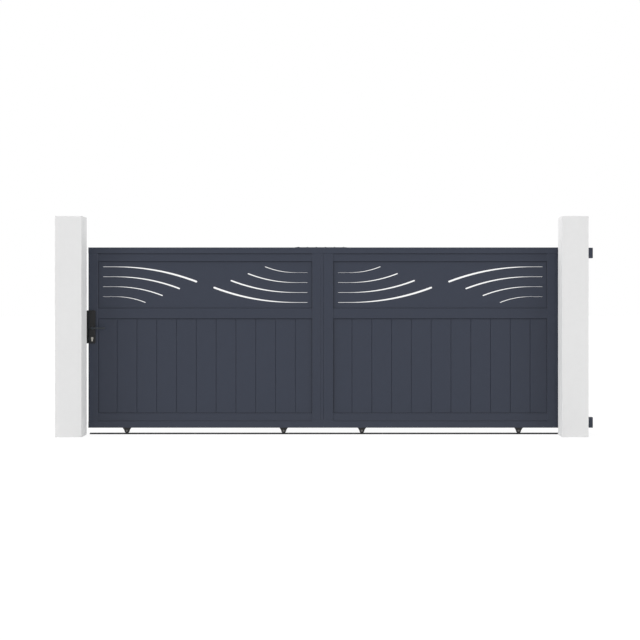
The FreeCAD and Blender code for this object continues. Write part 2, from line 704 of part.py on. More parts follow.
def guide_roller_places():
    """The middles of the guide rollers, in pairs in front of the leaf and behind it."""
    out = LEAF_DEPTH / 2 + GUIDE_ROLLER_GAP + GUIDE_ROLLER_RADIUS
    return [(x, y) for x in about(RIGHT_PIER_X, GUIDE_ROLLER_PITCH) for y in about(LEAF_Y, 2 * out)]


def guide_bracket():
    """A plate on the pier, an arm over the leaf and a pin for each guide roller."""
    arm_bottom = LEAF_TOP + GUIDE_ABOVE_LEAF
    width = about(RIGHT_PIER_X, GUIDE_PLATE_WIDTH)
    plate_y = (PIER_HALF, PIER_HALF + GUIDE_THICKNESS)
    plate = block(width, plate_y, (arm_bottom, arm_bottom + GUIDE_PLATE_HEIGHT))
    furthest = max(y for x, y in guide_roller_places())
    arm_y = (PIER_HALF, furthest + GUIDE_ARM_PAST_ROLLER)
    arm = block(width, arm_y, (arm_bottom, arm_bottom + GUIDE_THICKNESS))
    rib_top = point(RIGHT_PIER_X, plate_y[1], arm_bottom + GUIDE_PLATE_HEIGHT - GUIDE_THICKNESS)
    rib_foot = point(RIGHT_PIER_X, plate_y[1], arm_bottom + GUIDE_THICKNESS)
    rib_end = point(RIGHT_PIER_X, arm_y[1] - GUIDE_THICKNESS, arm_bottom + GUIDE_THICKNESS)
    rib = Part.Face(Part.makePolygon([rib_top, rib_foot, rib_end, rib_top])).extrude(
        point(GUIDE_THICKNESS, 0, 0)
    )
    rib.translate(point(-GUIDE_THICKNESS / 2, 0, 0))
    pin_bottom = LEAF_TOP - GUIDE_ROLLER_BELOW_TOP - GUIDE_ROLLER_LENGTH
    pins = [
        cylinder(GUIDE_PIN_RADIUS, arm_bottom - pin_bottom, point(x, y, pin_bottom), Z_AXIS)
        for x, y in guide_roller_places()
    ]
    return plate.fuse([arm, rib] + pins).removeSplitter()


def guide_roller(x, y):
    """A plain sleeve on a pin, with softened ends."""
    bottom = LEAF_TOP - GUIDE_ROLLER_BELOW_TOP - GUIDE_ROLLER_LENGTH
    base = point(x, y, bottom)
    sleeve = cylinder(GUIDE_ROLLER_RADIUS, GUIDE_ROLLER_LENGTH, base, Z_AXIS)
    bore = GUIDE_PIN_RADIUS + GUIDE_PIN_RUNNING_GAP
    return sleeve.cut(cylinder(bore, GUIDE_ROLLER_LENGTH, base, Z_AXIS))


os.makedirs("parts", exist_ok=True)

# What stands on the ground
save("left_pier", pier(0))
save("right_pier", pier(RIGHT_PIER_X))
save("ground_rail", ground_rail())
save("keeper", keeper())
save("guide_bracket", guide_bracket())
save("guide_rollers", *[guide_roller(x, y) for x, y in guide_roller_places()])

# The leaf's two modules
for side, left in MODULES.items():
    right = left + MODULE_WIDTH
    field = (left + LEFT_STILE_WIDTH, right - RIGHT_STILE_WIDTH)
    stile_y = about(LEAF_Y, STILE_DEPTH)
    left_stile = stile(field[0], left)
    if side == "left":
        left_stile = left_stile.cut(lock_openings(stile_y) + [lock_case_way()])
    save(f"{side}_module_left_stile", left_stile)
    joining_line = v_line(right - JOINING_STRIP_WIDTH, stile_y, (FRAME_BOTTOM, FRAME_TOP))
    save(f"{side}_module_right_stile", stile(field[1], right).cut(joining_line))
    save(f"{side}_module_bottom_rail", rail(field, (FRAME_BOTTOM, BOARDS_BOTTOM), False, True))
    save(f"{side}_module_middle_rail", rail(field, (BOARDS_TOP, CUT_OUT_BOTTOM), True, True))
    save(f"{side}_module_top_rail", rail(field, (CUT_OUT_TOP, FRAME_TOP), True, False))
    save(f"{side}_module_boards", board_field(field))
    save(f"{side}_module_cut_out_panel", cut_out_panel(field, side == "right"))
    beam_x = (left + CAP_THICKNESS, right) if side == "left" else (left, right)
    save(f"{side}_module_top_beam", tube(beam_x, (FRAME_TOP, LEAF_TOP), WALL))
    save(f"{side}_module_bottom_beam", bottom_beam(beam_x))

# What joins and ends the modules
plate_x = about(LEAF_LEFT + MODULE_WIDTH + JOINT_PLATE_SHIFT, JOINT_PLATE_LENGTH)
plate_z = (LEAF_TOP, LEAF_TOP + JOINT_PLATE_THICKNESS)
save("joint_plate", block(plate_x, about(LEAF_Y, LEAF_DEPTH), plate_z))
tail_x = (LEAF_RIGHT, LEAF_RIGHT + TAIL_LENGTH - CAP_THICKNESS)
tail_top = LEAF_TOP - TOP_TAIL_BELOW_TOP
top_tail_z = (tail_top - TAIL_HEIGHT, tail_top)
bottom_tail_z = (LEAF_CLEAR_OF_GROUND, LEAF_CLEAR_OF_GROUND + TAIL_HEIGHT)
save("top_tail", tube(tail_x, top_tail_z, TAIL_WALL))
save("bottom_tail", tube(tail_x, bottom_tail_z, TAIL_WALL))
tail_caps = [tube_cap(tail_x[1], 1, z_span, TAIL_WALL) for z_span in (top_tail_z, bottom_tail_z)]
save("tail_caps", *tail_caps)
beam_end = LEAF_LEFT + CAP_THICKNESS
beam_z = ((FRAME_TOP, LEAF_TOP), (LEAF_CLEAR_OF_GROUND, FRAME_BOTTOM))
save("beam_caps", *[tube_cap(beam_end, -1, z_span, WALL) for z_span in beam_z])

# The rollers, numbered from the lock's end
save("axle_bolts", *[axle(x) for x in roller_places()])
for number, x in enumerate(roller_places(), start=1):
    save(f"carriage_{number}", carriage(x))
    save(f"wheel_{number}", wheel(x))
    print(f"  wheel {number} turns about X {x:.2f}, Y {LEAF_Y:.2f}, Z {AXLE_Z:.2f}")

# The lock and its levers
save("front_lock_plate", lock_plate(-1))
save("rear_lock_plate", lock_plate(1))
save("lock_case", lock_case())
save("lock_cylinder", lock_cylinder())
save("front_lever", lever(-1))
save("rear_lever", lever(1))
save("lever_spindle", spindle())
print(f"  levers turn about X {LOCK_X:.2f}, Y {LEAF_Y:.2f}, Z {LEVER_Z:.2f}")
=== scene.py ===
# %% [markdown]
# # A sliding driveway gate
#
# This lesson dresses a finished construction model of a sliding gate: two rendered piers, a rail on
# the ground, and a leaf of two framed modules that rolls along it. The shapes and their places are
# already right, so Blender never moves them. Its work here is light, camera, finishes, and the small
# fittings that a fitter adds last: screws, washers, bearings and a keyway.
#
# The frame is loaded first, because the camera, the floor and the fittings are placed by its boxes.

# %% Load the frame
import json
import math

import bmesh
import bpy
from mathutils import Matrix, Vector


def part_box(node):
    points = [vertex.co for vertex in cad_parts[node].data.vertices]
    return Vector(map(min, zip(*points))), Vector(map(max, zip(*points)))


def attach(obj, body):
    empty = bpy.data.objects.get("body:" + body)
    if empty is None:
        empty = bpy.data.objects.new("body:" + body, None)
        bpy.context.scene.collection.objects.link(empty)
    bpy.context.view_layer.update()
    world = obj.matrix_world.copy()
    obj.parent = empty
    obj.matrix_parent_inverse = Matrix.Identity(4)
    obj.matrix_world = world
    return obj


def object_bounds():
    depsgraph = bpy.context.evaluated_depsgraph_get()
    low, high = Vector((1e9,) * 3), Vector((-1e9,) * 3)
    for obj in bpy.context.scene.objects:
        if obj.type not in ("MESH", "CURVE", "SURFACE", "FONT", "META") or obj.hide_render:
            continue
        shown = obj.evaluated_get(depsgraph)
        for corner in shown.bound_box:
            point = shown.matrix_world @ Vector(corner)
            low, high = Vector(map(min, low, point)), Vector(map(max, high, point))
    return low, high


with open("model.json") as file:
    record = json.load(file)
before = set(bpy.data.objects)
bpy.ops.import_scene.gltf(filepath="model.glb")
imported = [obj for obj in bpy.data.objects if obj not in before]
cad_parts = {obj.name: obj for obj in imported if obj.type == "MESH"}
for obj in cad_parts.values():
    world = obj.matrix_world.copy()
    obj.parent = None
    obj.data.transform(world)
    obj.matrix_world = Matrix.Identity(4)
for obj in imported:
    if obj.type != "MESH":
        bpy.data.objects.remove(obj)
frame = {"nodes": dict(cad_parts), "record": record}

cad_lowest, cad_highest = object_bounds()
print("CAD box from", [round(v, 3) for v in cad_lowest], "to", [round(v, 3) for v in cad_highest])

# %% [markdown]
# ## The places that everything else is measured from
#
# A fitting sits on the piece that carries it. Reading that piece's box, instead of typing a number,
# keeps the fitting in place when a size of the gate changes.

# %% Read the main places
leaf_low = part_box("left_module_bottom_beam")[0]
leaf_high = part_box("right_module_top_beam")[1]
leaf_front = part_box("left_module_top_beam")[0].y
leaf_middle_y = (leaf_low.y + leaf_high.y) / 2
passage_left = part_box("left_pier")[1].x
passage_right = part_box("right_pier")[0].x
gate_middle_x = (passage_left + passage_right) / 2
print(f"leaf {leaf_high.x - leaf_low.x:.3f} m long, its front at Y {leaf_front:.4f}")
print(f"passage {passage_right - passage_left:.3f} m wide, its middle at X {gate_middle_x:.3f}")

# %% [markdown]
# ## The camera
#
# The picture is a level view with upright lines kept upright, which in a real camera needs a shift
# lens: the camera points straight ahead, and the picture is taken from a part of the image that lies
# off its axis. Tilting the camera down instead would make the piers lean. A long lens keeps the two
# ends of a four metre gate almost the same size.
#
# The shift is kept small here, so that the camera can also be moved round the gate without cutting it
# off. It is just large enough to show more of the left pier's inner side than of the right one's.

# %% Place the camera
PICTURE_WIDTH = 640
FOCAL_LENGTH_IN_PIXELS = 1351
SENSOR_WIDTH = 36
HORIZON_ROW = 296
AXIS_COLUMN = 355
EYE_HEIGHT = 1.0456
EYE_TO_LEAF = 10.218
AXIS_RIGHT_OF_MIDDLE = 0.246

camera_data = bpy.data.cameras.new("picture_camera")
camera_data.lens = FOCAL_LENGTH_IN_PIXELS / PICTURE_WIDTH * SENSOR_WIDTH
camera_data.sensor_width = SENSOR_WIDTH
camera_data.shift_x = (PICTURE_WIDTH / 2 - AXIS_COLUMN) / PICTURE_WIDTH
camera_data.shift_y = (HORIZON_ROW - PICTURE_WIDTH / 2) / PICTURE_WIDTH
camera = bpy.data.objects.new("picture_camera", camera_data)
bpy.context.scene.collection.objects.link(camera)
camera.location = (gate_middle_x + AXIS_RIGHT_OF_MIDDLE, leaf_front - EYE_TO_LEAF, EYE_HEIGHT)
camera.rotation_euler = (math.radians(90), 0, 0)
bpy.context.scene.camera = camera
print(f"camera with a {camera_data.lens:.0f} mm lens at", [round(v, 2) for v in camera.location])

# %% [markdown]
# ## Colour management
#
# The Standard view transform shows a colour as it is written, so that a pale render stays pale and
# the coat keeps its blue. A filmic transform would grey the whites and needs stronger lamps.

# %% Choose the plain view transform
bpy.context.scene.view_settings.view_transform = "Standard"
print("view transform:", bpy.context.scene.view_settings.view_transform)

# %% [markdown]
# ## Small helpers for node trees
#
# Node trees get long when every node takes five lines. These three helpers make a node, join sockets
# and write a sum. An input may be a number or the output of another node, and both are written alike.

# %% Helpers for nodes
def add_node(tree, kind, **settings):
    """Makes a node and sets what is named."""
    made = tree.nodes.new(kind)
    for name, value in settings.items():
        setattr(made, name, value)
    return made


def feed(tree, socket, value):
    """Joins a socket to an output, or writes a plain value on it."""
    if isinstance(value, bpy.types.NodeSocket):
        tree.links.new(value, socket)
    else:
        socket.default_value = value


def reckon(tree, operation, *values, clamp=False):
    """A Math node with its inputs, and returns its output."""
    made = add_node(tree, "ShaderNodeMath", operation=operation, use_clamp=clamp)
    for socket, value in zip(made.inputs, values):
        feed(tree, socket, value)
    return made.outputs[0]


print("node helpers: add_node, feed, reckon")

# %% [markdown]
# ## Light
#
# A plain white studio is mostly soft light from all round, and that is the world. Three large
# lamps give it direction. The key lamp at the upper left makes the short soft shadows beside each
# upright of the frame. The side lamp at the right lights the inner side of the left pier, and lets the
# right pier shade the end of the leaf. The rear lamp does the same work for whoever walks round to
# the back. Sun lamps with a wide angle suit a gate four metres long: an area lamp would fall off from
# one end to the other.
#
# The camera sees the world as plain white, and so do reflections. The soft light that falls on a
# surface is set apart from that and is weaker: the white background gives the gate its gloss, but
# doesn't wash out its shadows.

# %% Light the world
WORLD_LIGHT = 0.32

world = bpy.data.worlds.new("soft_world")
bpy.context.scene.world = world
world.use_nodes = True
tree = world.node_tree
tree.nodes.clear()
path = add_node(tree, "ShaderNodeLightPath")
seen = reckon(tree, "MAXIMUM", path.outputs["Is Camera Ray"], path.outputs["Is Glossy Ray"])
seen = reckon(tree, "MAXIMUM", seen, path.outputs["Is Transmission Ray"])
light = add_node(tree, "ShaderNodeBackground")
light.inputs["Color"].default_value = (1, 1, 1, 1)
light.inputs["Strength"].default_value = WORLD_LIGHT
white = add_node(tree, "ShaderNodeBackground")
white.inputs["Color"].default_value = (1, 1, 1, 1)
white.inputs["Strength"].default_value = 1
choice = add_node(tree, "ShaderNodeMixShader")
tree.links.new(seen, choice.inputs["Fac"])
tree.links.new(light.outputs[0], choice.inputs[1])
tree.links.new(white.outputs[0], choice.inputs[2])
tree.links.new(choice.outputs[0], add_node(tree, "ShaderNodeOutputWorld").inputs["Surface"])
print("world light", WORLD_LIGHT, "and white where it is seen")

# %% Hang the lamps
def hang_lamp(name, run, power, width):
    """A sun lamp. Its run is how far the light goes right, back and down. Its width is in degrees."""
    data = bpy.data.lights.new(name, "SUN")
    data.energy = power
    data.angle = math.radians(width)
    lamp = bpy.data.objects.new(name, data)
    bpy.context.scene.collection.objects.link(lamp)
    way = Vector((run[0], run[1], -run[2]))
    lamp.rotation_euler = way.to_track_quat("-Z", "Y").to_euler()
    along = [round(v, 2) for v in way.normalized()]
    print(f"{name}: strength {power}, {width} degrees wide, along", along)


hang_lamp("key_lamp", run=(1.7, 0.8, 1.1), power=1.90, width=50)
hang_lamp("side_lamp", run=(-1.0, 0.5, 0.5), power=1.50, width=60)
hang_lamp("rear_lamp", run=(0.4, -1.0, 0.9), power=1.0, width=60)

# %% [markdown]
# ## The floor
#
# The floor is only there to catch a shadow and to throw light back up. Where the camera or a
# reflection looks at it, most of it is plain white light and the rest is a dim grey surface: open
# floor then comes out white, and under the gate a faint shadow is left. For all other rays it is an
# ordinary pale floor.

# %% Lay the floor
FLOOR_RADIUS = 60
FLOOR_SIDES = 96
FLOOR_DROP = 0.0005
FLOOR_COLOUR = (0.82, 0.82, 0.82, 1)
FLOOR_GLOW = 0.88
FLOOR_SHADE = (0.17, 0.17, 0.17, 1)

shape = bmesh.new()
bmesh.ops.create_circle(shape, cap_ends=True, segments=FLOOR_SIDES, radius=FLOOR_RADIUS)
floor_mesh = bpy.data.meshes.new("floor")
shape.to_mesh(floor_mesh)
shape.free()
floor = bpy.data.objects.new("floor", floor_mesh)
bpy.context.scene.collection.objects.link(floor)
floor.location = (gate_middle_x, 0, cad_lowest.z - FLOOR_DROP)
floor_paint = bpy.data.materials.new("floor_paint")
floor_paint.use_nodes = True
tree = floor_paint.node_tree
tree.nodes.clear()
path = add_node(tree, "ShaderNodeLightPath")
seen = reckon(tree, "MAXIMUM", path.outputs["Is Camera Ray"], path.outputs["Is Glossy Ray"])
seen = reckon(tree, "MAXIMUM", seen, path.outputs["Is Transmission Ray"])
plain = add_node(tree, "ShaderNodeBsdfDiffuse")
plain.inputs["Color"].default_value = FLOOR_COLOUR
glow = add_node(tree, "ShaderNodeEmission")
glow.inputs["Strength"].default_value = FLOOR_GLOW
shade = add_node(tree, "ShaderNodeBsdfDiffuse")
shade.inputs["Color"].default_value = FLOOR_SHADE
both = add_node(tree, "ShaderNodeAddShader")
tree.links.new(glow.outputs[0], both.inputs[0])
tree.links.new(shade.outputs[0], both.inputs[1])
choice = add_node(tree, "ShaderNodeMixShader")
tree.links.new(seen, choice.inputs["Fac"])
tree.links.new(plain.outputs[0], choice.inputs[1])
tree.links.new(both.outputs[0], choice.inputs[2])
tree.links.new(choice.outputs[0], add_node(tree, "ShaderNodeOutputMaterial").inputs["Surface"])
floor_mesh.materials.append(floor_paint)
print("floor of", 2 * FLOOR_RADIUS, "m across")

# %% [markdown]
# ## Effects that several finishes share
#
# Paint, render and steel all vary a little over their surface, all have a fine relief, and all catch
# some dust. Each effect is made once, as a node group with named inputs, and every finish sets its
# own values. A group gives only a colour, a mask or a height: the shader itself stays in the material.
#
# The first group lets a colour wander a little, at one large and one small scale, so that a broad
# face is never one flat value.

# %% A helper that starts a group
def start_group(name, inputs, outputs):
    """A node group with its named sockets. An input is a name, a kind and a first value."""
    group = bpy.data.node_groups.new(name, "ShaderNodeTree")
    for label, kind, value in inputs:
        socket = group.interface.new_socket(label, in_out="INPUT", socket_type="NodeSocket" + kind)
        socket.default_value = value
    for label, kind in outputs:
        group.interface.new_socket(label, in_out="OUTPUT", socket_type="NodeSocket" + kind)
    return group, add_node(group, "NodeGroupInput"), add_node(group, "NodeGroupOutput")


def place_group(tree, group, **values):
    """Places a group in a tree and fills its inputs, with _ for the blanks in their names."""
    made = add_node(tree, "ShaderNodeGroup", node_tree=group)
    for label, value in values.items():
        feed(tree, made.inputs[label.replace("_", " ")], value)
    return made


print("group helpers: start_group, place_group")

# %% Group: wandering tone
def noise(tree, scale, detail=2.0, roughness=0.5):
    """A noise value between 0 and 1 over the object's own coordinates."""
    place = add_node(tree, "ShaderNodeTexCoord")
    made = add_node(tree, "ShaderNodeTexNoise")
    tree.links.new(place.outputs["Object"], made.inputs["Vector"])
    feed(tree, made.inputs["Scale"], scale)
    made.inputs["Detail"].default_value = detail
    made.inputs["Roughness"].default_value = roughness
    return made.outputs["Fac"]


wandering_tone, start, end = start_group(
    "wandering_tone",
    [("Color", "Color", (0.5, 0.5, 0.5, 1)), ("Amount", "Float", 0.03), ("Scale", "Float", 3.0)],
    [("Color", "Color")],
)
SMALL_TO_LARGE = 9.0
large = noise(wandering_tone, start.outputs["Scale"])
small = noise(
    wandering_tone, reckon(wandering_tone, "MULTIPLY", start.outputs["Scale"], SMALL_TO_LARGE)
)
swing = reckon(wandering_tone, "SUBTRACT", reckon(wandering_tone, "ADD", large, small), 1.0)
swing = reckon(wandering_tone, "MULTIPLY", swing, 2.0)
gain = reckon(wandering_tone, "MULTIPLY_ADD", swing, start.outputs["Amount"], 1.0)
scaled = add_node(wandering_tone, "ShaderNodeVectorMath", operation="SCALE")
wandering_tone.links.new(start.outputs["Color"], scaled.inputs[0])
wandering_tone.links.new(gain, scaled.inputs["Scale"])
wandering_tone.links.new(scaled.outputs[0], end.inputs["Color"])
print("group", wandering_tone.name)

# %% [markdown]
# The second group is a fine relief. Powder coat has tiny even pimples, and a sponged render has sand
# grains over a slow hand-made unevenness. Both are two noises added, the coarse one with its own
# share. A Bump node in the material turns the height into light and shade.

# %% Group: fine relief
fine_relief, start, end = start_group(
    "fine_relief",
    [("Grain Scale", "Float", 900.0), ("Wave Scale", "Float", 12.0), ("Wave Share", "Float", 0.5)],
    [("Height", "Float")],
)
grain = noise(fine_relief, start.outputs["Grain Scale"], detail=3.0, roughness=0.6)
wave = noise(fine_relief, start.outputs["Wave Scale"], detail=2.0)
height = reckon(fine_relief, "MULTIPLY_ADD", wave, start.outputs["Wave Share"], grain)
fine_relief.links.new(height, end.inputs["Height"])
print("group", fine_relief.name)

# %% [markdown]
# The third group finds the edges. A Bevel node gives the normal that a rounded edge would have, and
# where that differs from the true normal there is an edge. The same node hands out the rounded
# normal, so that an edge catches a thin line of light as a real one does, and a mask for the place
# where a coat is thinner and worn. On the boards the same mask also lays painted light in the joints.

# %% Group: soft edges
soft_edges, start, end = start_group(
    "soft_edges",
    [("Radius", "Float", 0.001), ("Break Up", "Float", 0.5)],
    [("Mask", "Float"), ("Normal", "Vector")],
)
EDGE_GAIN = 3.0
PATCH_SCALE = 14.0
rounded = add_node(soft_edges, "ShaderNodeBevel", samples=4)
soft_edges.links.new(start.outputs["Radius"], rounded.inputs["Radius"])
true_side = add_node(soft_edges, "ShaderNodeNewGeometry")
alike = add_node(soft_edges, "ShaderNodeVectorMath", operation="DOT_PRODUCT")
soft_edges.links.new(rounded.outputs["Normal"], alike.inputs[0])
soft_edges.links.new(true_side.outputs["Normal"], alike.inputs[1])
edge = reckon(soft_edges, "SUBTRACT", 1.0, alike.outputs["Value"])
edge = reckon(soft_edges, "MULTIPLY", edge, EDGE_GAIN, clamp=True)
patches = noise(soft_edges, PATCH_SCALE, detail=4.0)
patches = reckon(soft_edges, "MULTIPLY", patches, start.outputs["Break Up"])
edge = reckon(soft_edges, "SUBTRACT", edge, patches, clamp=True)
soft_edges.links.new(edge, end.inputs["Mask"])
soft_edges.links.new(rounded.outputs["Normal"], end.inputs["Normal"])
print("group", soft_edges.name)

# %% [markdown]
# The fourth group is dust. It lies on what faces up, and rain throws a little of it against the
# lowest hand's breadth of whatever stands outdoors. The gate in the picture is clean, so every finish
# uses only a trace of it.

# %% Group: settled dust
settled_dust, start, end = start_group(
    "settled_dust",
    [("On Top", "Float", 0.3), ("At The Foot", "Float", 0.2), ("Foot Height", "Float", 0.12)],
    [("Mask", "Float")],
)
DUST_SCALE = 40.0
facing = add_node(settled_dust, "ShaderNodeSeparateXYZ")
geometry = add_node(settled_dust, "ShaderNodeNewGeometry")
settled_dust.links.new(geometry.outputs["Normal"], facing.inputs[0])
up = reckon(settled_dust, "MULTIPLY", facing.outputs["Z"], start.outputs["On Top"], clamp=True)
where = add_node(settled_dust, "ShaderNodeSeparateXYZ")
place = add_node(settled_dust, "ShaderNodeTexCoord")
settled_dust.links.new(place.outputs["Object"], where.inputs[0])
level = reckon(settled_dust, "DIVIDE", where.outputs["Z"], start.outputs["Foot Height"])
foot = reckon(settled_dust, "SUBTRACT", 1.0, level, clamp=True)
foot = reckon(settled_dust, "MULTIPLY", foot, start.outputs["At The Foot"])
dust = reckon(settled_dust, "ADD", up, foot, clamp=True)
specks = noise(settled_dust, DUST_SCALE, detail=5.0, roughness=0.7)
dust = reckon(settled_dust, "MULTIPLY", dust, specks)
settled_dust.links.new(dust, end.inputs["Mask"])
print("group", settled_dust.name)

# %% [markdown]
# ## A material to build on
#
# Every finish starts alike: a Principled BSDF, a colour that passes through the tone, edge and dust
# groups, and a Bump node over the rounded normal. One function builds that, and each finish below
# states only what makes it itself.

# %% The common build of a finish
DUST_COLOUR = (0.36, 0.34, 0.31, 1)
FIRST_COLOUR, SECOND_COLOUR, MIXED_COLOUR = 6, 7, 2


def blend_colours(tree, share, first, second):
    """Mixes two colours, each a plain one or an output. A Mix node numbers its colour sockets so."""
    made = add_node(tree, "ShaderNodeMix", data_type="RGBA")
    feed(tree, made.inputs["Factor"], share)
    feed(tree, made.inputs[FIRST_COLOUR], first)
    feed(tree, made.inputs[SECOND_COLOUR], second)
    return made.outputs[MIXED_COLOUR]


def surface(name, colour, tone, relief, edges, dust):
    """A material with the shared effects joined up. Returns it and its shader."""
    made = bpy.data.materials.new(name)
    made.use_nodes = True
    tree = made.node_tree
    shader = tree.nodes["Principled BSDF"]
    varied = place_group(tree, wandering_tone, Color=colour, Amount=tone[0], Scale=tone[1])
    edge = place_group(tree, soft_edges, Radius=edges["radius"], Break_Up=edges["break_up"])
    # The edge colour is wear on most finishes, and painted light in the boards' V joints.
    share = reckon(tree, "MULTIPLY", edge.outputs["Mask"], edges["share"])
    edge_wear_and_painted_light = blend_colours(tree, share, varied.outputs["Color"], edges["colour"])
    dusty = place_group(
        tree, settled_dust, On_Top=dust[0], At_The_Foot=dust[1], Foot_Height=dust[2]
    )
    final = blend_colours(tree, dusty.outputs["Mask"], edge_wear_and_painted_light, DUST_COLOUR)
    tree.links.new(final, shader.inputs["Base Color"])
    grain = place_group(
        tree,
        fine_relief,
        Grain_Scale=relief["grain"],
        Wave_Scale=relief["wave"],
        Wave_Share=relief["wave_share"],
    )
    bump = add_node(tree, "ShaderNodeBump")
    bump.inputs["Strength"].default_value = relief["strength"]
    bump.inputs["Distance"].default_value = relief["depth"]
    tree.links.new(grain.outputs["Height"], bump.inputs["Height"])
    tree.links.new(edge.outputs["Normal"], bump.inputs["Normal"])
    tree.links.new(bump.outputs["Normal"], shader.inputs["Normal"])
    return made, shader


print("surface() builds a finish from the four groups")

# %% [markdown]
# ## White render on the piers
#
# The piers are block work under a fine, sponge-finished white render. From a few metres they look
# plain, with a faint cloudiness from the trowel. Close up there are sand grains of about a
# millimetre. It is quite matt, so the roughness is high and the specular level low.

# %% Finish: fine white render
fine_render, shader = surface(
    "fine_white_render",
    colour=(0.80, 0.80, 0.80, 1),
    tone=(0.018, 2.2),
    relief={"grain": 420.0, "wave": 7.0, "wave_share": 1.6, "strength": 0.35, "depth": 0.0012},
    edges={"radius": 0.003, "break_up": 0.8, "share": 0.15, "colour": (0.86, 0.86, 0.85, 1)},
    dust=(0.10, 0.05, 0.10),
)
shader.inputs["Roughness"].default_value = 0.92
shader.inputs["Specular IOR Level"].default_value = 0.25
print("finish", fine_render.name)

# %% [markdown]
# ## Anthracite coat on the leaf
#
# The leaf is extruded aluminium with a satin, very finely textured powder coat in a blue-leaning
# anthracite. Its gloss is broad and soft. White surroundings always lay a thin grey veil over a dark
# glossy colour, so the colour written here is darker than the one that is seen.

# %% Finish: anthracite coat
ANTHRACITE = (0.0259, 0.0325, 0.0526, 1)
WORN_AND_PAINTED_LIGHT_ANTHRACITE = (0.05, 0.06, 0.085, 1)
COAT_TONE = (0.04, 1.6)
COAT_RELIEF = {"grain": 1500.0, "wave": 60.0, "wave_share": 0.3, "strength": 0.25, "depth": 0.0003}
COAT_DUST = (0.04, 0.03, 0.20)
COAT_ROUGHNESS = 0.46
COAT_SPECULAR = 0.38

leaf_coat, shader = surface(
    "anthracite_powder_coat",
    colour=ANTHRACITE,
    tone=COAT_TONE,
    relief=COAT_RELIEF,
    edges={"radius": 0.0012, "break_up": 0.7, "share": 0.15, "colour": WORN_AND_PAINTED_LIGHT_ANTHRACITE},
    dust=COAT_DUST,
)
shader.inputs["Roughness"].default_value = COAT_ROUGHNESS
shader.inputs["Specular IOR Level"].default_value = COAT_SPECULAR
print("finish", leaf_coat.name)

# %% [markdown]
# ## The same coat on the boards
#
# Powder melts into the V between two boards and rounds it, so the joint reads as a soft line and not
# as a black one. The boards get the same coat with a wider edge. That turns the normals in the V
# towards the face, and paints its sharp lines a little lighter: painted light against the shade
# in the V.

# %% Finish: anthracite coat of the boards
boards_coat, shader = surface(
    "anthracite_boards_coat",
    colour=ANTHRACITE,
    tone=COAT_TONE,
    relief=COAT_RELIEF,
    # The wide, strong edge here paints light into the V joints, against the shade there.
    edges={"radius": 0.0030, "break_up": 0.4, "share": 0.75, "colour": WORN_AND_PAINTED_LIGHT_ANTHRACITE},
    dust=COAT_DUST,
)
shader.inputs["Roughness"].default_value = COAT_ROUGHNESS
shader.inputs["Specular IOR Level"].default_value = COAT_SPECULAR
print("finish", boards_coat.name)

# %% [markdown]
# ## Black coat on the lock and the roller cheeks
#
# The bought-in fittings have a smoother, nearly neutral black coat. They are small and stand proud of
# what carries them, so their edges are rubbed a little more than the leaf's.

# %% Finish: black coat
black_coat, shader = surface(
    "black_powder_coat",
    colour=(0.0065, 0.0070, 0.0080, 1),
    tone=(0.06, 8.0),
    relief={"grain": 2200.0, "wave": 90.0, "wave_share": 0.2, "strength": 0.2, "depth": 0.0002},
    edges={"radius": 0.0008, "break_up": 0.6, "share": 0.30, "colour": (0.05, 0.05, 0.055, 1)},
    dust=(0.06, 0.04, 0.08),
)
shader.inputs["Roughness"].default_value = 0.40
shader.inputs["Specular IOR Level"].default_value = 0.37
print("finish", black_coat.name)

# %% [markdown]
# ## Matt black and painted shade on the two brackets
#
# The keeper and the upper guide are folded from steel plate and dipped in a matt black. It returns
# hardly any light: its colour is partly that matt black and partly painted shade for the shadow
# between the pier and the leaf, so the keeper reads as a black slot there.

# %% Finish: matt black with painted shade
black_with_painted_shade, shader = surface(
    "black_dip_with_painted_shade",
    colour=(0.0035, 0.0036, 0.0040, 1),
    tone=(0.08, 10.0),
    relief={"grain": 1600.0, "wave": 60.0, "wave_share": 0.4, "strength": 0.25, "depth": 0.0003},
    edges={"radius": 0.0008, "break_up": 0.7, "share": 0.20, "colour": (0.03, 0.03, 0.032, 1)},
    dust=(0.05, 0.02, 0.08),
)
shader.inputs["Roughness"].default_value = 0.62
shader.inputs["Specular IOR Level"].default_value = 0.18
print("finish", black_with_painted_shade.name)

# %% [markdown]
# ## Satin black with painted light on the levers
#
# The two levers are cast apart from their plates, and their satin coat is written a shade lighter
# than the black behind them: painted light for the light a lever catches. Hands keep the edges of a
# lever clean and a little bright.

# %% Finish: lever black with painted light
lever_black_with_painted_light, shader = surface(
    "lever_black_with_painted_light",
    colour=(0.020, 0.026, 0.034, 1),
    tone=(0.05, 12.0),
    relief={"grain": 2600.0, "wave": 110.0, "wave_share": 0.2, "strength": 0.15, "depth": 0.0002},
    edges={"radius": 0.0008, "break_up": 0.5, "share": 0.30, "colour": (0.09, 0.09, 0.10, 1)},
    dust=(0.04, 0.0, 0.08),
)
shader.inputs["Roughness"].default_value = 0.36
shader.inputs["Specular IOR Level"].default_value = 0.45
print("finish", lever_black_with_painted_light.name)

# %% [markdown]
# ## Dark steel of the ground rail
#
# The rail is coated dark grey. Where the wheels run, the top of the bead is polished by them. That
# strip is found by its height: it is the last part of a millimetre below the rail's top.

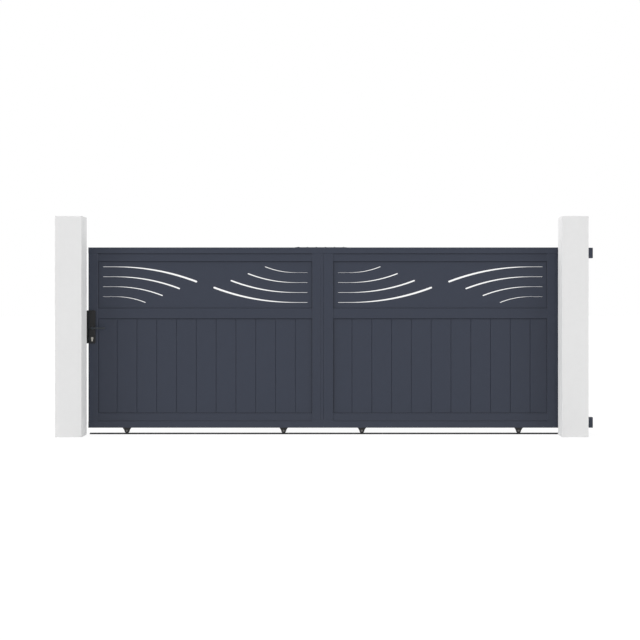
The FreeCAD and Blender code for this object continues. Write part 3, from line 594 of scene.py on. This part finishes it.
# %% Finish: rail steel
rail_steel, shader = surface(
    "coated_rail_steel",
    colour=(0.013, 0.013, 0.014, 1),
    tone=(0.10, 6.0),
    relief={"grain": 1200.0, "wave": 40.0, "wave_share": 0.4, "strength": 0.3, "depth": 0.0003},
    edges={"radius": 0.0006, "break_up": 0.5, "share": 0.2, "colour": (0.05, 0.05, 0.05, 1)},
    dust=(0.06, 0.0, 0.02),
)
tree = rail_steel.node_tree
shader.inputs["Specular IOR Level"].default_value = 0.4
POLISHED_DEPTH = 0.0006
POLISHED_COLOUR = (0.18, 0.18, 0.19, 1)
POLISHED_METALLIC = 0.8
COATED_ROUGHNESS = 0.55
ROUGHNESS_LOST = 0.25
SCUFF_SCALE = 90.0
rail_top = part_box("ground_rail")[1].z
run_above = rail_top - POLISHED_DEPTH
where = add_node(tree, "ShaderNodeSeparateXYZ")
tree.links.new(add_node(tree, "ShaderNodeTexCoord").outputs["Object"], where.inputs[0])
run = add_node(tree, "ShaderNodeMapRange")
tree.links.new(where.outputs["Z"], run.inputs["Value"])
run.inputs["From Min"].default_value = run_above
run.inputs["From Max"].default_value = rail_top
polish = reckon(tree, "MULTIPLY", run.outputs["Result"], noise(tree, SCUFF_SCALE, detail=4.0))
coat = shader.inputs["Base Color"].links[0].from_socket
worn = blend_colours(tree, polish, coat, POLISHED_COLOUR)
tree.links.new(worn, shader.inputs["Base Color"])
metallic = reckon(tree, "MULTIPLY", polish, POLISHED_METALLIC, clamp=True)
tree.links.new(metallic, shader.inputs["Metallic"])
roughness = reckon(tree, "MULTIPLY_ADD", polish, -ROUGHNESS_LOST, COATED_ROUGHNESS)
tree.links.new(roughness, shader.inputs["Roughness"])
print("finish", rail_steel.name, f"polished above {run_above * 1000:.1f} mm")

# %% [markdown]
# ## Zinc plate, nickel and nylon
#
# The bolts of both brackets and the races of the bearings are bright zinc plated, which is a metal
# with a slightly cloudy look. The lock's cylinder is satin nickel over brass. Wheels, caps and guide
# rollers are black nylon: a plastic with a soft sheen and no edge wear to speak of.

# %% Finishes: zinc, nickel, nylon
zinc_plate, shader = surface(
    "bright_zinc_plate",
    colour=(0.56, 0.57, 0.58, 1),
    tone=(0.12, 30.0),
    relief={"grain": 900.0, "wave": 150.0, "wave_share": 0.6, "strength": 0.15, "depth": 0.0002},
    edges={"radius": 0.0005, "break_up": 0.4, "share": 0.3, "colour": (0.75, 0.75, 0.74, 1)},
    dust=(0.20, 0.05, 0.05),
)
shader.inputs["Metallic"].default_value = 1.0
shader.inputs["Roughness"].default_value = 0.34

satin_nickel, shader = surface(
    "satin_nickel",
    colour=(0.51, 0.49, 0.44, 1),
    tone=(0.05, 60.0),
    relief={"grain": 3000.0, "wave": 200.0, "wave_share": 0.2, "strength": 0.1, "depth": 0.0001},
    edges={"radius": 0.0004, "break_up": 0.3, "share": 0.3, "colour": (0.72, 0.68, 0.58, 1)},
    dust=(0.10, 0.0, 0.05),
)
shader.inputs["Metallic"].default_value = 1.0
shader.inputs["Roughness"].default_value = 0.28

black_nylon, shader = surface(
    "black_nylon",
    colour=(0.020, 0.020, 0.021, 1),
    tone=(0.05, 20.0),
    relief={"grain": 1800.0, "wave": 120.0, "wave_share": 0.3, "strength": 0.2, "depth": 0.0002},
    edges={"radius": 0.0010, "break_up": 0.9, "share": 0.15, "colour": (0.05, 0.05, 0.05, 1)},
    dust=(0.20, 0.05, 0.05),
)
shader.inputs["Roughness"].default_value = 0.52
shader.inputs["Specular IOR Level"].default_value = 0.4
print("finishes", zinc_plate.name, satin_nickel.name, black_nylon.name)

# %% [markdown]
# ## Zinc with painted shade close to the ground
#
# The axle bolts and the rail's screws sit in the lowest few centimetres. Their zinc is written dark
# grey, as painted shade for the shade low under the leaf: still a metal, but rough, and with more
# dust.

# %% Finish: zinc with painted shade
zinc_with_painted_shade, shader = surface(
    "zinc_with_painted_shade",
    colour=(0.13, 0.125, 0.12, 1),
    tone=(0.20, 45.0),
    relief={"grain": 1100.0, "wave": 160.0, "wave_share": 0.7, "strength": 0.3, "depth": 0.0002},
    edges={"radius": 0.0005, "break_up": 0.6, "share": 0.3, "colour": (0.30, 0.29, 0.28, 1)},
    dust=(0.30, 0.20, 0.05),
)
shader.inputs["Metallic"].default_value = 1.0
shader.inputs["Roughness"].default_value = 0.50
print("finish", zinc_with_painted_shade.name)

# %% [markdown]
# ## Dark rubber and painted shade
#
# The strips round the fields and the beads along the beams are painted shade: dark pieces that draw
# the shade lines at the frame's inner edges and seams. They are made in the leaf's own anthracite,
# only darker, so that they read as shadow lines and not as black piping. The seals of the wheel
# bearings are the same rubber, and the slit of the key uses it as painted shade. It is matt and has no
# worn bright edges.

# %% Finish: dark rubber
# Real rubber for the bearing seals, and painted shade for the strips, beads and key slit.
painted_shade_and_seal_rubber, shader = surface(
    "painted_shade_and_seal_rubber",
    colour=(0.020, 0.024, 0.036, 1),
    tone=(0.08, 25.0),
    relief={"grain": 1400.0, "wave": 100.0, "wave_share": 0.4, "strength": 0.15, "depth": 0.0002},
    edges={"radius": 0.0006, "break_up": 0.9, "share": 0.10, "colour": (0.03, 0.03, 0.03, 1)},
    dust=(0.05, 0.02, 0.20),
)
shader.inputs["Roughness"].default_value = 0.75
shader.inputs["Specular IOR Level"].default_value = 0.3
print("finish", painted_shade_and_seal_rubber.name)

# %% [markdown]
# ## Put the finishes on the construction
#
# The record already says which finish each node is meant to have. Using its slot names means that no
# piece is forgotten, and that a new piece of the construction gets its finish by itself. A few nodes
# then get a finer choice of their own.

# %% Dress the CAD nodes
FINISHES = {
    "render": fine_render,
    "anthracite_coat": leaf_coat,
    "black_coat": black_coat,
    "rail_steel": rail_steel,
    "zinc": zinc_plate,
    "nickel": satin_nickel,
    "nylon": black_nylon,
}
for row in frame["record"]["subparts"]:
    dressed = frame["nodes"][row["node"]]
    dressed.data.materials.clear()
    dressed.data.materials.append(FINISHES[row["material_slot"]])
# The axle bolts' zinc is darkened as painted shade.
frame["nodes"]["axle_bolts"].data.materials[0] = zinc_with_painted_shade
# The levers' black is lightened as painted light.
for lever in ("front_lever", "rear_lever"):
    frame["nodes"][lever].data.materials[0] = lever_black_with_painted_light
# The brackets' black is darkened further as painted shade.
for bracket in ("keeper", "guide_bracket"):
    frame["nodes"][bracket].data.materials[0] = black_with_painted_shade
for side in ("left", "right"):
    frame["nodes"][f"{side}_module_boards"].data.materials[0] = boards_coat
print("then their own finishes for axle bolts, levers, brackets and boards")

# %% [markdown]
# ## Small turned fittings
#
# A screw head, a nut and a washer are all turned parts: a ring of points, another ring above it, and
# so on to the middle. A hexagon is the same ring pushed out to six corners, so a bolt head and the
# pocket for a key need no other tool. Catalogue sizes are in millimetres, so these helpers take them.

# %% Helpers for turned fittings
MM = 0.001
POINTS_ROUND = 24
SHARP_EDGE = math.radians(35)
GOLDEN_TURN = 2.4


def ring(radius, height, corners=0):
    """Points round the Z axis. With corners, the radius is half the width across the flats."""
    points = []
    for k in range(POINTS_ROUND):
        angle = 2 * math.pi * k / POINTS_ROUND
        reach = radius
        if corners:
            side = 2 * math.pi / corners
            reach = radius / math.cos(angle % side - side / 2)
        points.append((reach * math.cos(angle) * MM, reach * math.sin(angle) * MM, height * MM))
    return points


def finish_mesh(name, shape):
    """Turns a bmesh into a mesh with outward faces, smooth where it is round."""
    bmesh.ops.recalc_face_normals(shape, faces=shape.faces)
    mesh = bpy.data.meshes.new(name)
    shape.to_mesh(mesh)
    shape.free()
    mesh.shade_smooth()
    mesh.set_sharp_from_angle(angle=SHARP_EDGE)
    return mesh


def skin(shape, loops, closed):
    """Faces between one loop of points and the next, and from the last to the first if closed."""
    rows = [[shape.verts.new(p) for p in loop] for loop in loops]
    pairs = list(zip(rows, rows[1:]))
    if closed:
        pairs.append((rows[-1], rows[0]))
    for lower, upper in pairs:
        for k in range(len(lower)):
            after = (k + 1) % len(lower)
            shape.faces.new((lower[k], lower[after], upper[after], upper[k]))
    return rows


def turned(name, rings):
    """A solid from rings that start at the seat and end at the middle of the top."""
    shape = bmesh.new()
    rows = skin(shape, [ring(*r) for r in rings], closed=False)
    shape.faces.new(rows[0])
    shape.faces.new(rows[-1])
    return finish_mesh(name, shape)


def turned_ring(name, rings):
    """A solid with a hole through it, from rings that go once round its section."""
    shape = bmesh.new()
    skin(shape, [ring(*r) for r in rings], closed=True)
    return finish_mesh(name, shape)


print("fitting helpers: ring, turned, turned_ring")

# %% The catalogue of fittings
def button_head(radius, height, key):
    """A low domed head with a hexagonal pocket for the key."""
    return [
        (radius, 0), (radius, 0.25 * height), (0.93 * radius, 0.55 * height),
        (0.76 * radius, 0.85 * height), (0.60 * radius, height),
        (key, height, 6), (key, 0.35 * height, 6),
    ]


def flanged_head(flange, thickness, radius, height, key):
    """A domed head on a wide flat flange."""
    head = [(r[0], r[1] + thickness, *r[2:]) for r in button_head(radius, height, key)]
    return [(flange, 0), (flange, 0.7 * thickness), (0.96 * flange, thickness)] + head


def nut_on_washer(washer, thickness, flats, height, stud, past):
    """A washer, a hexagonal nut with a chamfered top, and the end of the stud."""
    top = thickness + height
    return [
        (washer, 0), (washer, 0.8 * thickness), (0.97 * washer, thickness),
        (flats / 2, thickness, 6), (flats / 2, top - 0.1 * height, 6), (0.47 * flats, top),
        (stud, top), (stud, top + 0.8 * past), (0.85 * stud, top + past),
    ]


button_screw = turned("button_screw", button_head(5.5, 3.0, 2.0))
small_screw = turned("small_screw", button_head(4.2, 1.4, 1.3))
flanged_screw = turned("flanged_screw", flanged_head(14.0, 1.2, 6.0, 2.6, 2.2))
anchor_nut = turned("anchor_nut", nut_on_washer(8.0, 1.6, 13.0, 6.5, 4.0, 5.0))
keeper_bolt = turned("keeper_bolt", nut_on_washer(8.0, 1.6, 13.0, 5.3, 4.0, 0.2))
pin_clip = turned(
    "pin_clip", [(6.8, 0), (6.8, 1.0), (6.4, 1.4), (4.0, 1.4), (4.0, 2.2), (3.4, 2.8)],
)
bearing_races = turned_ring(
    "bearing_races", [(13.0, 0), (13.0, 0.4), (11.2, 0.4), (11.2, 0.2), (7.4, 0.2), (7.4, 0.4),
                      (5.0, 0.4), (5.0, 0)],
)
bearing_seal = turned_ring("bearing_seal", [(11.1, 0.1), (11.0, 0.35), (7.6, 0.35), (7.5, 0.1)])
print("six fittings and a bearing of two pieces, the smallest", small_screw.name)

# %% [markdown]
# ## Setting the fittings
#
# Like fittings are one object: each copy is moved to its place and faced the right way in one mesh.
# A fitter never lines up the key pockets, so each copy is also turned a little further than the last,
# by the golden angle, which never repeats.

# %% A helper that sets fittings
FACING = {
    "up": Matrix.Identity(4),
    "down": Matrix.Rotation(math.radians(180), 4, "X"),
    "front": Matrix.Rotation(math.radians(90), 4, "X"),
    "rear": Matrix.Rotation(math.radians(-90), 4, "X"),
}


def add_piece(name, mesh, body, finish):
    """Makes a mesh an object of the gate, with its finish and the body that it rides on."""
    mesh.materials.clear()
    mesh.materials.append(finish)
    piece = bpy.data.objects.new(name, mesh)
    bpy.context.scene.collection.objects.link(piece)
    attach(piece, body)


def set_fittings(name, mesh, places, facing, body, finish, stretch=(1, 1, 1)):
    """One object from copies of a fitting, each seated at a place and facing a way."""
    shape = bmesh.new()
    for k, place in enumerate(places):
        first = len(shape.verts)
        shape.from_mesh(mesh)
        shape.verts.ensure_lookup_table()
        turn = Matrix.Rotation(k * GOLDEN_TURN, 4, "Z")
        size = Matrix.Diagonal((*stretch, 1))
        matrix = Matrix.Translation(Vector(place)) @ FACING[facing] @ turn @ size
        bmesh.ops.transform(shape, matrix=matrix, verts=shape.verts[first:])
    add_piece(name, finish_mesh(name, shape), body, finish)
    print(f"{name}: {len(places)} set on {body}")


print("set_fittings() seats copies on a body")

# %% [markdown]
# ## Screws of the joint plate
#
# A thin plate on the leaf's top bridges the two modules. Its first screw has a wide flange, which
# shows in the picture as a low bump at the plate's left end. The others are plain button heads.

# %% Set the joint plate's screws
plate_low, plate_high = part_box("joint_plate")
END_INSET = 0.023
plate_length = plate_high.x - plate_low.x - 2 * END_INSET
SCREWS_IN_PLATE = 6
screw_places = [
    (plate_low.x + END_INSET + plate_length * k / (SCREWS_IN_PLATE - 1),
     leaf_middle_y, plate_high.z)
    for k in range(SCREWS_IN_PLATE)
]
set_fittings("joint_plate_first_screw", flanged_screw, screw_places[:1], "up", "leaf",
             leaf_coat)
set_fittings("joint_plate_screws", button_screw, screw_places[1:], "up", "leaf",
             leaf_coat)

# %% [markdown]
# ## Screws of the ground rail
#
# The rail's base has pairs of holes. Their places are in the record as mounts, so the screws are read
# from there and stand on top of the base.

# %% Set the rail's screws
RAIL_BASE_TOP = 0.003
rail_places = []
for mount in frame["record"]["mounts"]:
    if mount["kind"] == "bolt_pattern":
        spread = mount["dims"]["spacing_y_mm"] * MM / 2
        for side in (-spread, spread):
            rail_places.append((mount["pos_m"][0], mount["pos_m"][1] + side, RAIL_BASE_TOP))
# The rail's screws share the zinc darkened as painted shade.
set_fittings("rail_screws", button_screw, rail_places, "up", "posts_and_rail", zinc_with_painted_shade)

# %% [markdown]
# ## Lock: screws, key plug and key slit
#
# Each lock plate is held by two small screws. In the middle of the profile cylinder's round part
# turns a plug, and in the plug is the slit for the key. The slit is painted shade: a dark turned disc
# squeezed to a narrow oval, where the opening would lie in shade.

# %% Dress the lock on both faces
SCREW_INSET = 0.012
KEY_PLUG_ABOVE = 0.0245
cylinder_low, cylinder_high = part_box("lock_cylinder")
plug_z = cylinder_low.z + KEY_PLUG_ABOVE
lock_x = (cylinder_low.x + cylinder_high.x) / 2
key_plug = turned("key_plug", [(6.4, 0), (6.4, 0.5), (6.0, 0.8), (2.0, 0.8)])
key_opening_shade = turned("key_opening_shade", [(4.6, 0), (4.6, 0.9), (4.0, 1.0)])
for facing, plate_name in (("front", "front_lock_plate"), ("rear", "rear_lock_plate")):
    low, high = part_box(plate_name)
    face_y = low.y if facing == "front" else high.y
    plug_y = cylinder_low.y if facing == "front" else cylinder_high.y
    places = [(lock_x, face_y, low.z + SCREW_INSET), (lock_x, face_y, high.z - SCREW_INSET)]
    set_fittings(f"{facing}_lock_screws", small_screw, places, facing, "leaf",
                 black_coat)
    plug_place = [(lock_x, plug_y, plug_z)]
    set_fittings(f"{facing}_key_plug", key_plug, plug_place, facing, "leaf", satin_nickel)
    # The dark slit is painted shade in the key's opening.
    set_fittings(f"{facing}_key_opening_shade", key_opening_shade, plug_place, facing, "leaf", painted_shade_and_seal_rubber,
                 stretch=(0.2, 1, 1))

# %% [markdown]
# ## Bolts of the keeper and of the upper guide
#
# Both brackets are fastened to the rear of a pier. The keeper has four hexagon bolts, and the guide
# has four anchors in the pier, a nut on each roller pin above the arm and a clip on each pin below.

# %% Bolt the keeper
keeper_low, keeper_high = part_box("keeper")
KEEPER_PLATE = 0.004
BOLT_FROM_EDGE = 0.014
BOLT_FROM_FLANGE = 0.0224
BOLT_FROM_END = 0.028
keeper_face = keeper_low.y + KEEPER_PLATE
bolt_columns = (keeper_low.x + BOLT_FROM_EDGE, keeper_high.x - BOLT_FROM_FLANGE)
bolt_rows = (keeper_low.z + BOLT_FROM_END, keeper_high.z - BOLT_FROM_END)
bolt_places = [(x, keeper_face, z) for x in bolt_columns for z in bolt_rows]
set_fittings("keeper_bolts", keeper_bolt, bolt_places, "rear", "posts_and_rail", zinc_plate)

# %% Bolt the upper guide
guide_low, guide_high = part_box("guide_bracket")
rollers_low, rollers_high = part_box("guide_rollers")
GUIDE_PLATE = 0.005
ARM_ABOVE_LEAF = 0.028
ANCHOR_OUT = 0.040
ANCHOR_ABOVE_ARM = 0.024
ANCHOR_BELOW_TOP = 0.020
guide_middle_x = (guide_low.x + guide_high.x) / 2
arm_top = leaf_high.z + ARM_ABOVE_LEAF + GUIDE_PLATE
anchor_rows = (arm_top + ANCHOR_ABOVE_ARM, guide_high.z - ANCHOR_BELOW_TOP)
anchor_places = [
    (guide_middle_x + side * ANCHOR_OUT, guide_low.y + GUIDE_PLATE, z)
    for side in (-1, 1)
    for z in anchor_rows
]
set_fittings("guide_anchors", anchor_nut, anchor_places, "rear", "posts_and_rail",
             zinc_plate)

ROLLER_RADIUS = 0.0085
pin_columns = (rollers_low.x + ROLLER_RADIUS, rollers_high.x - ROLLER_RADIUS)
pin_rows = (rollers_low.y + ROLLER_RADIUS, rollers_high.y - ROLLER_RADIUS)
pins = [(x, y) for x in pin_columns for y in pin_rows]
set_fittings("guide_pin_nuts", anchor_nut, [(x, y, arm_top) for x, y in pins], "up",
             "posts_and_rail", zinc_plate)
set_fittings("guide_pin_clips", pin_clip, [(x, y, rollers_low.z) for x, y in pins], "down",
             "posts_and_rail", zinc_plate)

# %% [markdown]
# ## Bearings in the wheels
#
# Each grooved wheel turns on a sealed ball bearing. From the side two bright rings show, with a dark
# seal between them. They ride on the wheel's own body, so they turn with it.

# %% Fit the bearings
WHEELS = 4
for number in range(1, WHEELS + 1):
    low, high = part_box(f"wheel_{number}")
    axle_x = (low.x + high.x) / 2
    axle_z = (low.z + high.z) / 2
    for facing, face_y in (("front", low.y), ("rear", high.y)):
        place = [(axle_x, face_y, axle_z)]
        label = f"wheel_{number}_{facing}"
        set_fittings(f"{label}_bearing", bearing_races, place, facing, f"roller_{number}",
                     zinc_plate)
        set_fittings(f"{label}_seal", bearing_seal, place, facing, f"roller_{number}",
                     painted_shade_and_seal_rubber)

# %% [markdown]
# ## Strips of painted shade round the panels
#
# A dark strip round each field paints the thin line of shade along the frame's inner edge: painted
# shade. It is one closed profile that runs round a rectangle with mitred corners: every point of the
# profile becomes a rectangle, and the rectangles are skinned.

# %% Lay the strips of painted shade
STRIP_WIDTH = 0.0042
STRIP_RISE = 0.0032
STRIP_PROFILE = [(0, 0), (1, 0), (1, 0.35), (0.7, 0.8), (0.25, 1), (0, 1)]


def strip_loops(x_span, z_span, face_y, outward):
    """The rectangles of one strip, each as four corners in order round the field."""
    loops = []
    for inward, rise in STRIP_PROFILE:
        dx = inward * STRIP_WIDTH
        y = face_y + outward * rise * STRIP_RISE
        x0, x1 = x_span[0] + dx, x_span[1] - dx
        z0, z1 = z_span[0] + dx, z_span[1] - dx
        loops.append([(x0, y, z0), (x1, y, z0), (x1, y, z1), (x0, y, z1)])
    return loops


SHEET = 0.003
for side in ("left", "right"):
    shape = bmesh.new()
    x_span = (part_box(f"{side}_module_left_stile")[1].x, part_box(f"{side}_module_right_stile")[0].x)
    boards_low, boards_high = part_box(f"{side}_module_boards")
    rails = [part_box(f"{side}_module_{place}_rail") for place in ("bottom", "middle", "top")]
    board_z = (rails[0][1].z, rails[1][0].z)
    cut_out_z = (rails[1][1].z, rails[2][0].z)
    skin(shape, strip_loops(x_span, board_z, boards_low.y, -1), closed=True)
    skin(shape, strip_loops(x_span, board_z, boards_high.y, 1), closed=True)
    skin(shape, strip_loops(x_span, cut_out_z, boards_low.y, -1), closed=True)
    skin(shape, strip_loops(x_span, cut_out_z, boards_low.y + SHEET, 1), closed=True)
    # These dark strips are painted shade along the fields' edges.
    add_piece(f"{side}_painted_shade_strips", finish_mesh(f"{side}_strips", shape), "leaf",
              painted_shade_and_seal_rubber)
    print(f"{side} module: four strips round {x_span[1] - x_span[0]:.3f} m wide fields")

# %% [markdown]
# ## Painted shade between the frame and the two long beams
#
# The frame of each module is screwed between a top and a bottom beam that are deeper than its rails.
# A dark bead in that joint paints the line of shade along it: painted shade. In front and behind it
# lies in the corner between the rail's face and the beam, as a soft quarter-round bead, and it runs
# from one stile to the other.

# %% Lay the beads of painted shade
BEAD_WIDTH = 0.0048
BEAD_RISE = 0.0040
BEAD_STEPS = 5


def bead_section(y, z, outward, away):
    """A quarter-round bead in a corner, as (y, z) points; away is 1 above the corner, -1 below."""
    points = [(y, z)]
    for k in range(BEAD_STEPS + 1):
        angle = math.pi / 2 * k / BEAD_STEPS
        out = BEAD_WIDTH * math.cos(angle)
        up = BEAD_RISE * math.sin(angle)
        points.append((y + outward * out, z + away * up))
    return points


for side in ("left", "right"):
    shape = bmesh.new()
    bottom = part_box(f"{side}_module_bottom_rail")
    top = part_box(f"{side}_module_top_rail")
    for face_y, outward in ((bottom[0].y, -1), (bottom[1].y, 1)):
        for z, away in ((bottom[0].z, 1), (top[1].z, -1)):
            section = bead_section(face_y, z, outward, away)
            loops = [[(x, *p) for p in section] for x in (bottom[0].x, bottom[1].x)]
            rows = skin(shape, loops, closed=False)
            shape.faces.new(rows[0])
            shape.faces.new(rows[-1])
    # These dark beads are painted shade along the joints.
    add_piece(f"{side}_beam_shade_bead", finish_mesh(f"{side}_shade_bead", shape), "leaf",
              painted_shade_and_seal_rubber)
    print(f"{side} module: shade_bead at Z {bottom[0].z:.3f} and {top[1].z:.3f}, in front and behind")
